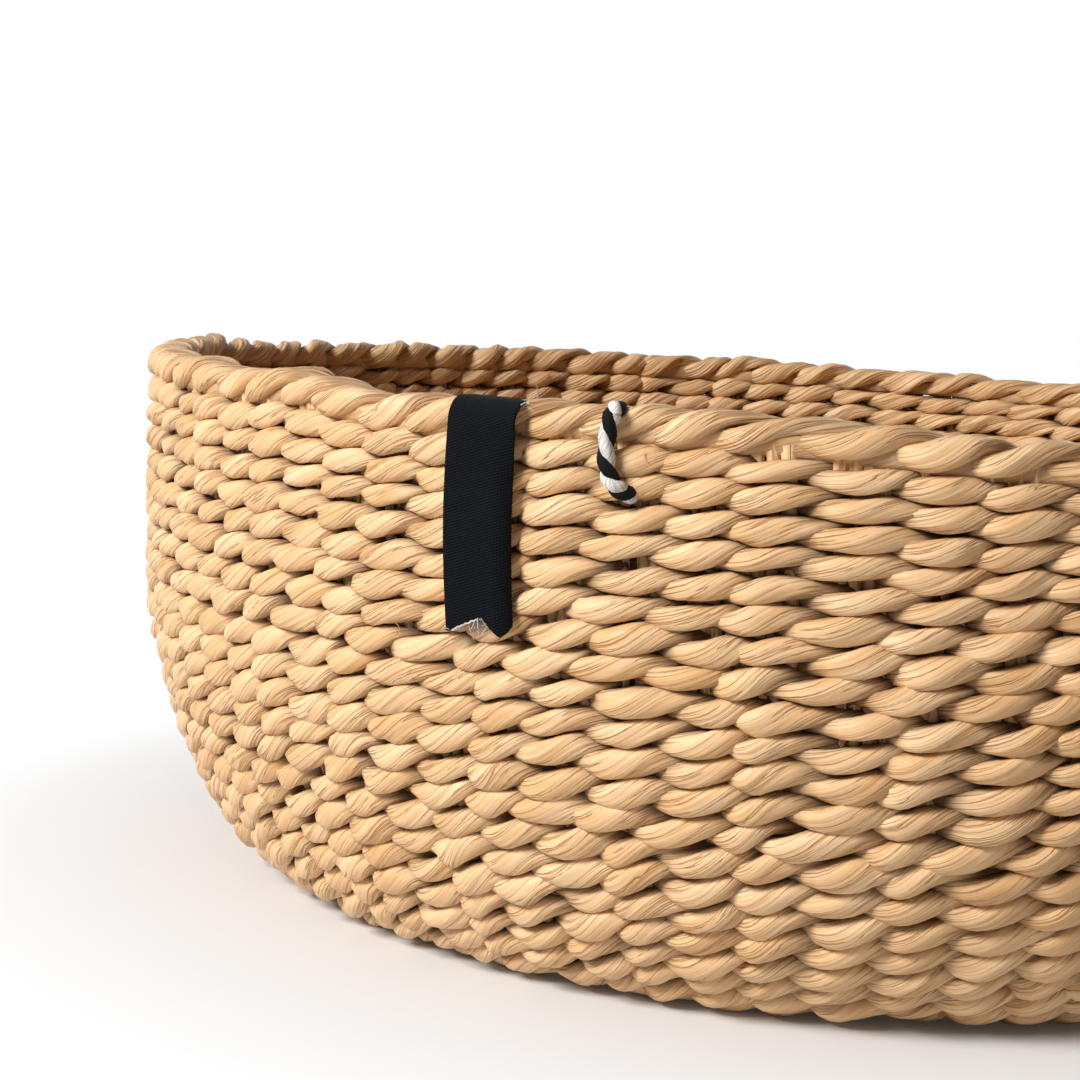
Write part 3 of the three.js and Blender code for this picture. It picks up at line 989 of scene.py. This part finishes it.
class WOVENBOWL_OT_stage(bpy.types.Operator):
    """Floor, soft light and the camera"""

    bl_idname = "wovenbowl.stage"
    bl_label = "Stage"

    def execute(self, context):
        stage = context.scene.woven_bowl.stage
        context.scene.view_settings.view_transform = "Standard"
        self.floor(stage)
        self.light(context, stage)
        self.camera(context, stage)
        return {"FINISHED"}

    def floor(self, stage):
        mesh = bpy.data.meshes.new("floor")
        shape = bmesh.new()
        bmesh.ops.create_circle(shape, cap_ends=True, segments=96, radius=stage.floor_radius)
        shape.to_mesh(mesh)
        shape.free()
        material, nodes, shader = new_material("floor")
        shader.inputs["Base Color"].default_value = (*stage.floor_colour, 1)
        shader.inputs["Roughness"].default_value = 0.9
        shader.inputs["Emission Color"].default_value = (1, 1, 1, 1)
        place = nodes.add("ShaderNodeTexCoord").outputs["Object"]
        reach = nodes.add("ShaderNodeVectorMath", operation="LENGTH", vector=place).outputs["Value"]
        far = nodes.remap(reach, FLOOR_CLEAR, stage.floor_fade)
        white = nodes.add("ShaderNodeEmission")
        mix = nodes.add("ShaderNodeMixShader")
        seen = nodes.seen_directly()
        nodes.link(nodes.times(far, seen), mix.inputs["Fac"])
        nodes.link(nodes.times(seen, stage.floor_lift), shader.inputs["Emission Strength"])
        nodes.link(shader.outputs["BSDF"], mix.inputs[1])
        nodes.link(white.outputs["Emission"], mix.inputs[2])
        nodes.link(mix.outputs["Shader"], material.node_tree.nodes["Material Output"].inputs["Surface"])
        piece_of("floor", mesh, material)

    def light(self, context, stage):
        world = bpy.data.worlds.new("studio")
        world.use_nodes = True
        nodes = Nodes(world.node_tree)
        background = world.node_tree.nodes["Background"]
        shown = nodes.seen_directly()
        nodes.link(nodes.mix(shown, stage.ambient_colour, (1, 1, 1)), background.inputs["Color"])
        extra = nodes.times(shown, 1 - stage.ambient)
        nodes.link(nodes.plus(extra, stage.ambient), background.inputs["Strength"])
        context.scene.world = world
        lamp = bpy.data.lights.new("key", "AREA")
        lamp.energy = stage.key_power
        lamp.size = KEY_SIZE
        holder = bpy.data.objects.new("key", lamp)
        holder.location = KEY_PLACE
        aim = Vector(KEY_AIM) - holder.location
        holder.rotation_euler = aim.to_track_quat("-Z", "Y").to_euler()
        context.scene.collection.objects.link(holder)

    def camera(self, context, stage):
        azimuth = stage.camera_azimuth
        heading = azimuth + stage.camera_yaw
        level = Vector((-math.sin(heading), math.cos(heading), 0))
        right = Vector((math.cos(heading), math.sin(heading), 0))
        pitch = stage.camera_pitch
        forward = level * math.cos(pitch) - Vector((0, 0, 1)) * math.sin(pitch)
        up = right.cross(forward)
        roll = stage.camera_roll
        right_rolled = right * math.cos(roll) + up * math.sin(roll)
        up_rolled = up * math.cos(roll) - right * math.sin(roll)
        camera = bpy.data.cameras.new("camera")
        camera.sensor_width = 36
        camera.lens = stage.lens
        camera.clip_start = 0.01
        holder = bpy.data.objects.new("camera", camera)
        turn = Matrix((right_rolled, up_rolled, -forward)).transposed()
        distance = stage.camera_distance
        place = Vector((distance * math.sin(azimuth), -distance * math.cos(azimuth), stage.camera_height))
        holder.matrix_world = Matrix.Translation(place) @ turn.to_4x4()
        context.scene.collection.objects.link(holder)
        context.scene.camera = holder


class WOVENBOWL_OT_wall_rounds(bpy.types.Operator):
    """Twined rounds of the wall, two strands each"""

    bl_idname = "wovenbowl.wall_rounds"
    bl_label = "Wall rounds"

    def execute(self, context):
        settings = context.scene.woven_bowl
        weave = Weave(settings)
        material = paper_for_strands(settings)
        for number in range(settings.weave.wall_rounds):
            random = np.random.default_rng(SEED_WALL + number)
            low, high = weave.edge(number), weave.edge(number + 1)
            steeper = 1 + LOW_SLANT * (1 - number / settings.weave.wall_rounds)
            made = Round(
                middle=(low + high) / 2,
                height=(high - low) * settings.weave.fill,
                slant=(high - low) * settings.weave.slant * steeper,
                count=settings.weave.stakes,
                samples=WALL_SAMPLES,
                shift=random.normal(0, ROUND_SHIFT * weave.uneven),
            )
            strands = [twined_strand(weave, made, which, random) for which in (0, 1)]
            name = f"wall_round_{number + 1:02d}"
            piece = strand_piece(name, strands, WALL_SIDES, material)
            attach(piece, "bowl")
            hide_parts(f"{name}_outer", f"{name}_inner")
        return {"FINISHED"}


class WOVENBOWL_OT_base_rounds(bpy.types.Operator):
    """Twined rounds of the base, in three bands"""

    bl_idname = "wovenbowl.base_rounds"
    bl_label = "Base rounds"

    def execute(self, context):
        settings = context.scene.woven_bowl
        weave = Weave(settings)
        material = paper_for_strands(settings)
        pitch = settings.shape.base_radius / BASE_ROUNDS
        per_band = BASE_ROUNDS // BASE_BANDS
        for band in range(BASE_BANDS):
            random = np.random.default_rng(SEED_BASE + band)
            strands = []
            for number in range(band * per_band, (band + 1) * per_band):
                radius = (number + 0.5) * pitch
                made = Round(
                    middle=radius - settings.shape.base_radius,
                    height=pitch * settings.weave.fill,
                    slant=pitch * settings.weave.slant,
                    count=self.stakes_at(radius, settings.weave.stakes),
                    samples=BASE_SAMPLES,
                )
                strands.extend(twined_strand(weave, made, which, random) for which in (0, 1))
            name = f"base_rounds_{band + 1}"
            piece = strand_piece(name, strands, BASE_SIDES, material, rows=1)
            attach(piece, "bowl")
            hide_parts(f"base_rounds_under_{band + 1}", f"base_rounds_over_{band + 1}")
        return {"FINISHED"}

    def stakes_at(self, radius, most):
        for reach, count in BASE_COUNTS:
            if radius < reach:
                return count
        return most


class WOVENBOWL_OT_rim_border(bpy.types.Operator):
    """The thicker last round, with a plain ring inside it"""

    bl_idname = "wovenbowl.rim_border"
    bl_label = "Rim border"

    def execute(self, context):
        settings = context.scene.woven_bowl
        weave = Weave(settings)
        random = np.random.default_rng(SEED_BORDER)
        border = settings.weave.border_height
        made = Round(
            middle=weave.outline.length - border * BORDER_DEPTH,
            height=border * BORDER_STITCH,
            slant=border * BORDER_SLANT,
            count=settings.weave.stakes,
            samples=BORDER_SAMPLES,
            shade=0.35,
        )
        core = Round(
            middle=weave.outline.length - border * CORE_DEPTH,
            height=border * CORE_HEIGHT,
            slant=0,
            count=settings.weave.stakes,
            samples=BORDER_SAMPLES,
            shade=0.6,
            twine=0,
        )
        strands = [twined_strand(weave, made, which, random) for which in (0, 1)]
        strands.append(twined_strand(weave, core, 0, random))
        piece = strand_piece("rim_border_round", strands, BORDER_SIDES, paper_for_strands(settings))
        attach(piece, "bowl")
        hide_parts("rim_border")
        return {"FINISHED"}


class WOVENBOWL_OT_stakes(bpy.types.Operator):
    """Bundles of thin strands that the rounds are twined over"""

    bl_idname = "wovenbowl.stakes"
    bl_label = "Stakes"

    def execute(self, context):
        settings = context.scene.woven_bowl
        weave = Weave(settings)
        random = np.random.default_rng(SEED_STAKES)
        strands = []
        base = settings.shape.base_radius
        tip = weave.outline.length - STAKE_END
        reaches = [reach - base for reach, _ in BASE_COUNTS]
        counts = [count for _, count in BASE_COUNTS]
        starts = [STAKE_START - base, *[reach - STAKE_LAP for reach in reaches]]
        ends = [*[reach + STAKE_LAP for reach in reaches], tip]
        for start, end, count in zip(starts, ends, [*counts, settings.weave.stakes]):
            for stake in range(count):
                strands.extend(self.bundle(weave, stake, count, start, end, random))
        material = paper_material("thin_twisted_paper", settings.paper, STAKE_CREASE_DEPTH)
        piece = strand_piece("stake_bundles", strands, STAKE_SIDES, material, rows=1)
        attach(piece, "bowl")
        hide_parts("warp_stakes")
        return {"FINISHED"}

    def bundle(self, weave, stake, count, start, end, random):
        steps = max(4, round((end - start) / STAKE_STEP))
        distance = np.linspace(start, end, steps)
        middle = (stake * TURN / count) * np.ones(steps)
        if count == weave.set.stakes:
            middle = weave.turn_of(np.full(steps, float(stake)), distance)
        made = []
        for place in BUNDLE:
            wobble = np.cumsum(random.normal(0, STAKE_WOBBLE, steps))
            wobble -= np.linspace(wobble[0], wobble[-1], steps)
            aside = place * BUNDLE_STEP + wobble
            radius = np.maximum(weave.outline.at(distance)[0], LEAST_RADIUS)
            angle = middle + aside / radius
            forward = np.interp(distance, (end - TIP_LENGTH, end), (0, TIP_FORWARD))
            depth = weave.shape.stake_depth + random.normal(0, STAKE_WOBBLE, steps) - forward
            line, outward, along = wall_frame(weave.outline, angle, distance, depth)
            side = np.cross(along, outward)
            size = random.uniform(*STAKE_SIZES) * MM
            made.append(Strand(
                line=line,
                outward=outward,
                along=side,
                thick=size * STAKE_FLATNESS,
                tall=size,
                twist=np.linspace(0, STAKE_TWIST, steps),
                folds=STAKE_FOLDS,
                phases=random.uniform(0, TURN, len(FOLD_COUNTS)),
                length=distance + random.uniform(0, GRAIN_SHIFT),
                pinch=STAKE_PINCH,
                shade=np.interp(distance, (end - SHADE_END, end - PALE_FROM), (STAKE_SHADE, 0.0)),
                closed=False,
            ))
        return made


class WOVENBOWL_OT_label(bpy.types.Operator):
    """Twill ribbon folded over the rim, with the loose threads of its cut end"""

    bl_idname = "wovenbowl.label"
    bl_label = "Label"

    def execute(self, context):
        label = context.scene.woven_bowl.label
        course = Ribbon(label)
        ribbon = self.ribbon(label, course)
        pale = yarn_material("frayed_yarn", label.fray_colour, [0.5 * share for share in label.fray_colour])
        random = np.random.default_rng(SEED_FRAY)
        end_threads = self.end_threads(course, random)
        edge_threads = self.edge_threads(course, random)
        end_fray = strand_piece("label_end_fray", end_threads, FRAY_SIDES, pale, rows=1)
        edge_fray = strand_piece("label_edge_fray", edge_threads, FRAY_SIDES, pale, rows=1)
        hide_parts("label_saddle", "label_flap")
        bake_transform(ribbon)
        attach(end_fray, "label_flap")
        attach(edge_fray, "bowl")
        return {"FINISHED"}

    def ribbon(self, label, course):
        shape = bmesh.new()
        bmesh.ops.create_grid(shape, x_segments=RIBBON_COLUMNS, y_segments=RIBBON_ROWS, size=1)
        flat = np.array([vertex.co[:2] for vertex in shape.verts])
        across = flat[:, 0]
        distance = (flat[:, 1] + 1) / 2 * course.length
        knee = course.length - CUT_REACH
        shortened = knee + (distance - knee) * (course.end_at(across) - knee) / CUT_REACH
        distance = np.where(distance > knee, shortened, distance)
        for vertex, place in zip(shape.verts, course.at(across, distance)):
            vertex.co = place
        layer = shape.loops.layers.uv.new("Ribbon")
        for face in shape.faces:
            face.smooth = True
            for corner in face.loops:
                place = corner.vert.index
                corner[layer].uv = (across[place] * label.width / 2 / MM, distance[place] / MM)
        mesh = bpy.data.meshes.new("label_ribbon")
        shape.to_mesh(mesh)
        shape.free()
        piece = piece_of("label_ribbon", mesh, twill_material("black_twill", label))
        thicken = piece.modifiers.new("thickness", "SOLIDIFY")
        thicken.thickness = label.thickness
        thicken.offset = 0
        graph = bpy.context.evaluated_depsgraph_get()
        piece.data = bpy.data.meshes.new_from_object(piece.evaluated_get(graph))
        piece.modifiers.clear()
        bpy.data.meshes.remove(mesh)
        return piece

    def end_threads(self, course, random):
        across = np.linspace(*FRAY_EDGE, 14)
        edge = course.at(across, course.end_at(across) + 0.1 * MM, 0.35 * MM)
        edge[:, 2] += random.normal(0, 0.1 * MM, len(edge))
        threads = [thin_strand(edge, 0.17 * MM, tip=1.0)]
        for start in np.linspace(*FRAY_NOTCH, 10):
            place = course.end_at(start) - 0.3 * MM
            threads.append(self.whisker(course, random, start, place, (0.0, 0.0, -1.0)))
        for start in random.uniform(*FRAY_TAIL, 4):
            place = course.end_at(start) - 0.2 * MM
            threads.append(self.whisker(course, random, start, place, (0.0, 0.0, -0.5)))
        return threads

    def edge_threads(self, course, random):
        fold = course.leg_start - course.label.fold_radius * math.pi / 2
        threads = []
        for place in np.linspace(*FRAY_FOLD, 7):
            threads.append(self.whisker(course, random, 1.0, fold + place, (0.8, -0.3, 0.3)))
        return threads

    def whisker(self, course, random, across, distance, heading):
        """A short curled thread that leaves the ribbon's edge."""
        start = course.at(np.array([across]), np.array([distance]), 0.1 * MM)[0]
        reach = random.uniform(*WHISKER_REACHES) * MM
        way = np.array(heading) + random.normal(0, 0.35, 3)
        curl = random.normal(0, 0.5, 3)
        share = np.linspace(0, 1, WHISKER_STEPS)[:, None]
        line = start + reach * (share * way + share**2 * curl)
        return thin_strand(line, random.uniform(*WHISKER_RADII) * MM)


class WOVENBOWL_OT_thread(bpy.types.Operator):
    """Stitch of two-ply thread beside the label"""

    bl_idname = "wovenbowl.thread"
    bl_label = "Thread"

    def execute(self, context):
        settings = context.scene.woven_bowl
        thread = settings.thread
        axis = self.axis(settings)
        dull = [0.45 * share for share in thread.white]
        dim = [0.35 * share for share in thread.black]
        plies = (
            ("thread_black_twist", "thread_ply_black", "thread_black", math.pi, thread.black, dim),
            ("thread_white_twist", "thread_ply_white", "thread_white", 0, thread.white, dull),
        )
        for name, node, slot, phase, colour, shade in plies:
            material = yarn_material(f"{name}_yarn", colour, shade)
            piece = strand_piece(name, [self.ply(thread, axis, phase)], THREAD_SIDES, material, rows=1)
            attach(piece, "bowl")
            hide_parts(node)
        return {"FINISHED"}

    def axis(self, settings):
        """The middle of the thread: over the border, down the wall and back into it."""
        angle = settings.thread.angle
        away = np.array([math.sin(angle), -math.cos(angle), 0])
        aside = np.array([math.cos(angle), math.sin(angle), 0])
        up = np.array([0, 0, 1])
        points = [
            aside * side * MM + away * (settings.shape.rim_radius + out * MM) + up * height * MM
            for side, out, height in THREAD_COURSE
        ]
        return smooth_course(np.array(points), THREAD_STEPS)

    def ply(self, thread, axis, phase):
        normals, tangents = carried_normals(axis, np.array([0.0, 0.0, 1.0]))
        sides = np.cross(tangents, normals)
        turn = np.linspace(0, TURN * thread.turns, THREAD_STEPS)[:, None] + phase
        wound = normals * np.cos(turn) - sides * np.sin(turn)
        strand = thin_strand(axis + thread.orbit * wound, thread.ply_radius, tip=1.0)
        strand.outward = normals
        strand.along = sides
        strand.twist = np.linspace(0, PLY_TWIST, THREAD_STEPS)
        return strand


class WOVENBOWL_OT_fibres(bpy.types.Operator):
    """A few loose, curled fibres of paper on the rim and the wall"""

    bl_idname = "wovenbowl.fibres"
    bl_label = "Loose fibres"

    def execute(self, context):
        settings = context.scene.woven_bowl
        weave = Weave(settings)
        random = np.random.default_rng(SEED_FIBRES)
        strands = [self.fibre(weave, random) for _ in range(FIBRE_COUNT)]
        piece = strand_piece("loose_fibres", strands, FRAY_SIDES, paper_for_strands(settings), rows=1)
        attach(piece, "bowl")
        return {"FINISHED"}

    def fibre(self, weave, random):
        angle = np.array([random.uniform(0, TURN)])
        distance = weave.outline.length * (1 - np.array([random.uniform(0, FIBRE_DROP)]) ** 2)
        depth = np.array([FIBRE_DEPTH])
        place, outward, along = (part[0] for part in wall_frame(weave.outline, angle, distance, depth))
        aside = np.cross(outward, along)
        heading = random.uniform(0, TURN)
        way = aside * math.cos(heading) + along * math.sin(heading)
        off = aside * math.sin(heading) - along * math.cos(heading)
        sweep = np.linspace(0, random.uniform(*FIBRE_SWEEPS), FIBRE_STEPS)[:, None]
        radius = random.uniform(*FIBRE_BENDS) * MM
        lift = random.uniform(*FIBRE_LIFTS) * MM
        curl = way * np.sin(sweep) + off * (1 - np.cos(sweep))
        line = place + radius * curl + outward * lift * np.sin(sweep / 2)
        return thin_strand(line, random.uniform(*FIBRE_RADII) * MM)


class WOVENBOWL_PT_pieces(bpy.types.Panel):
    """The bowl's pieces"""

    bl_idname = "WOVENBOWL_PT_pieces"
    bl_label = "Woven bowl"
    bl_space_type = "VIEW_3D"
    bl_region_type = "UI"
    bl_category = "Woven bowl"

    def draw(self, context):
        for operator in OPERATORS:
            self.layout.operator(operator.bl_idname)


SETTINGS = (
    BowlShape, WeaveSettings, PaperColours, LabelSettings, ThreadSettings, StageSettings, BowlSettings,
)
OPERATORS = (
    WOVENBOWL_OT_stage,
    WOVENBOWL_OT_stakes,
    WOVENBOWL_OT_base_rounds,
    WOVENBOWL_OT_wall_rounds,
    WOVENBOWL_OT_rim_border,
    WOVENBOWL_OT_label,
    WOVENBOWL_OT_thread,
    WOVENBOWL_OT_fibres,
)
CLASSES = (*SETTINGS, *OPERATORS, WOVENBOWL_PT_pieces)


def register():
    for item in CLASSES:
        bpy.utils.register_class(item)
    bpy.types.Scene.woven_bowl = PointerProperty(type=BowlSettings)


def unregister():
    del bpy.types.Scene.woven_bowl
    for item in reversed(CLASSES):
        bpy.utils.unregister_class(item)


def main():
    register()
    bpy.ops.wovenbowl.stage()
    bpy.ops.wovenbowl.stakes()
    bpy.ops.wovenbowl.base_rounds()
    bpy.ops.wovenbowl.wall_rounds()
    bpy.ops.wovenbowl.rim_border()
    bpy.ops.wovenbowl.label()
    bpy.ops.wovenbowl.thread()
    bpy.ops.wovenbowl.fibres()


if __name__ == "__main__":
    main()
